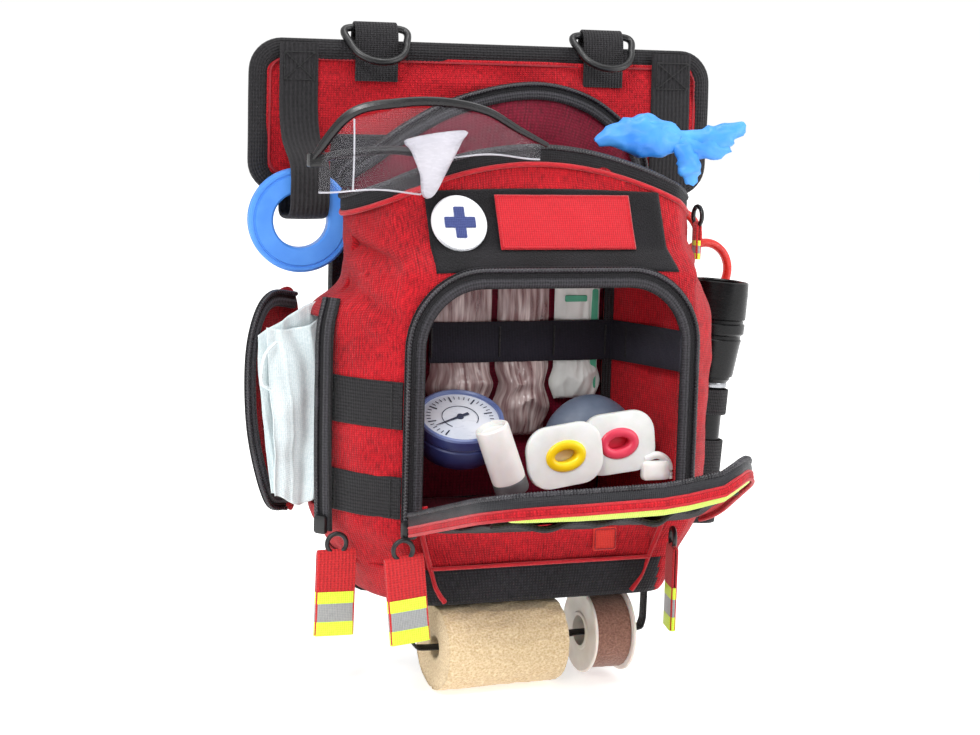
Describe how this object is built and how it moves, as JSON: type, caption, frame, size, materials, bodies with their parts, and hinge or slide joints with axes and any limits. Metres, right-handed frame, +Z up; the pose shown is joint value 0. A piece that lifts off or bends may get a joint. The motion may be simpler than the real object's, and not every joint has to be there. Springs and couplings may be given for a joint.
{
  "type": "trauma backpack",
  "caption": "Small first-response backpack hanging open, with dropped front door, raised lid, side pocket, gear loops and the kit it carries.",
  "frame": {"origin": "middle of the spine pad's rear face, which rests on the wearer or the wall", "axes": "+X to the viewer's right as the front is seen, -Y out of the front, +Z up"},
  "size_m": [0.3678, 0.3062, 0.4289],
  "materials": {
    "red_fabric": "plain weave, matt",
    "lining_fabric": "coated lining, satin",
    "black_fabric": "woven, matt",
    "black_webbing": "ribbed webbing, matt",
    "zip_tape": "tape with coil teeth",
    "hook_loop": "brushed loop pile",
    "pad_foam": "spacer mesh over foam",
    "patch_white": "moulded, satin",
    "patch_red": "woven, matt",
    "reflective_tape": "retroreflective",
    "ring_plastic": "moulded, satin",
    "reel_plastic": "moulded, satin",
    "pull_webbing": "folded webbing on a wire ring",
    "torch_metal": "black anodised",
    "torch_button_rubber": "moulded",
    "shears_plastic": "moulded",
    "shears_steel": "satin",
    "lens": "clear polycarbonate",
    "goggle_plastic": "moulded",
    "nitrile": "thin film",
    "mask_cloth": "non-woven",
    "pouch_film": "cloudy film",
    "packet_paper": "printed paper",
    "gauge_plastic": "moulded, with a white dial",
    "white_plastic": "moulded",
    "bulb_rubber": "matt",
    "gauze": "elastic crepe",
    "cloth_tape": "cloth tape on a plastic spool"
  },
  "bodies": {
    "pack": {"body_shell": "red_fabric", "base_cover": "black_fabric", "front_liner": "lining_fabric", "frame_zip": "zip_tape", "elastic_band": "black_webbing", "loop_field": "hook_loop", "round_patch": "patch_white", "name_patch": "patch_red", "rim_zip": "zip_tape", "wing_binding": "black_webbing", "wing_panel": "red_fabric", "ring_loop_left": "black_webbing", "ring_loop_right": "black_webbing", "hook_strap_left": "hook_loop", "hook_strap_right": "hook_loop", "back_panel": "black_fabric", "spine_pad": "pad_foam", "shoulder_strap_left": "pad_foam", "shoulder_strap_right": "pad_foam", "side_webbing_upper": "black_webbing", "side_webbing_lower": "black_webbing", "pocket_zip": "zip_tape", "face_mask": "mask_cloth", "torch_holder": "black_webbing", "glove": "nitrile", "pouch_left": "pouch_film", "pouch_middle": "pouch_film", "dressing_packet": "packet_paper", "pressure_gauge": "gauge_plastic", "bandage_tube": "white_plastic", "airway_yellow": "white_plastic", "airway_red": "white_plastic", "squeeze_bulb": "bulb_rubber", "roll_strap": "black_webbing"},
    "door": {"front_door": "red_fabric", "door_zip": "zip_tape", "door_pocket": "black_fabric", "door_reflective_strip": "reflective_tape"},
    "top_lid": {"lid": "red_fabric", "lid_zip": "zip_tape"},
    "side_cover": {"pocket_cover": "red_fabric", "cover_zip": "zip_tape"},
    "left_ring": {"d_ring_left": "ring_plastic"},
    "right_ring": {"d_ring_right": "ring_plastic"},
    "door_pull_left": {"pull_door_left": "pull_webbing"},
    "door_pull_right": {"pull_door_right": "pull_webbing"},
    "side_pull": {"pull_side": "pull_webbing"},
    "lid_pull": {"pull_lid": "pull_webbing"},
    "reel": {"tape_reel": "reel_plastic"},
    "wide_roll": {"bandage_roll": "gauze"},
    "spool": {"tape_spool": "cloth_tape"},
    "torch": {"torch_body": "torch_metal"},
    "torch_zoom": {"torch_head": "torch_metal"},
    "torch_switch": {"torch_button": "torch_button_rubber"},
    "shears": {"shears_handles": "shears_plastic", "shears_blades": "shears_steel"},
    "goggles": {"goggles_lens": "lens", "goggles_frame": "goggle_plastic", "goggles_temple": "goggle_plastic"}
  },
  "joints": [
    {"name": "door_hinge", "type": "hinge", "parent": "pack", "child": "door", "pos_m": [0, -0.153, -0.075], "axis": [1, 0, 0], "range_deg": [-75, 0]},
    {"name": "lid_hinge", "type": "hinge", "parent": "pack", "child": "top_lid", "pos_m": [0, -0.0255, 0.126], "axis": [1, 0, 0], "range_deg": [0, 29]},
    {"name": "side_cover_hinge", "type": "hinge", "parent": "pack", "child": "side_cover", "pos_m": [-0.1375, -0.033, -0.015], "axis": [0, 0, 1], "range_deg": [-25, 0]},
    {"name": "left_ring_hinge", "type": "hinge", "parent": "pack", "child": "left_ring", "pos_m": [-0.082, -0.0115, 0.2305], "axis": [1, 0, 0], "range_deg": [-130, 0]},
    {"name": "right_ring_hinge", "type": "hinge", "parent": "pack", "child": "right_ring", "pos_m": [0.083, -0.0115, 0.2305], "axis": [1, 0, 0], "range_deg": [-130, 0]},
    {"name": "door_pull_left_swing", "type": "hinge", "parent": "pack", "child": "door_pull_left", "pos_m": [-0.104, -0.153, -0.0856], "axis": [1, 0, 0], "range_deg": [-60, 5]},
    {"name": "door_pull_right_swing", "type": "hinge", "parent": "pack", "child": "door_pull_right", "pos_m": [0.08, -0.16, -0.0856], "axis": [0, 1, 0], "range_deg": [-40, 40]},
    {"name": "side_pull_swing", "type": "hinge", "parent": "pack", "child": "side_pull", "pos_m": [-0.133, -0.111, -0.0886], "axis": [1, 0, 0], "range_deg": [-60, 3]},
    {"name": "lid_pull_swing", "type": "hinge", "parent": "pack", "child": "lid_pull", "pos_m": [0.127, -0.084, 0.1184], "axis": [0, 1, 0], "range_deg": [-40, 2]},
    {"name": "reel_spin", "type": "hinge", "parent": "pack", "child": "reel", "pos_m": [-0.138, -0.033, 0.105], "axis": [0.1736, 0.9848, 0], "continuous": true},
    {"name": "roll_spin", "type": "hinge", "parent": "pack", "child": "wide_roll", "pos_m": [-0.028, -0.12, -0.164], "axis": [0.9986, 0.0523, 0], "continuous": true},
    {"name": "spool_spin", "type": "hinge", "parent": "pack", "child": "spool", "pos_m": [0.052, -0.112, -0.163], "axis": [1, 0, 0], "continuous": true},
    {"name": "torch_draw", "type": "slide", "parent": "pack", "child": "torch", "axis": [0.0698, 0, 0.9976], "range_m": [0, 0.12]},
    {"name": "torch_zoom_slide", "type": "slide", "parent": "torch", "child": "torch_zoom", "axis": [0.0698, 0, 0.9976], "range_m": [0, 0.008]},
    {"name": "torch_switch_press", "type": "slide", "parent": "torch", "child": "torch_switch", "axis": [0.0698, 0, 0.9976], "range_m": [0, 0.0015], "stiffness_N_per_m": 600},
    {"name": "shears_draw", "type": "slide", "parent": "pack", "child": "shears", "axis": [0, 0, 1], "range_m": [0, 0.13]},
    {"name": "goggles_lift", "type": "slide", "parent": "pack", "child": "goggles", "axis": [0, 0, 1], "range_m": [0, 0.08]}
  ]
}
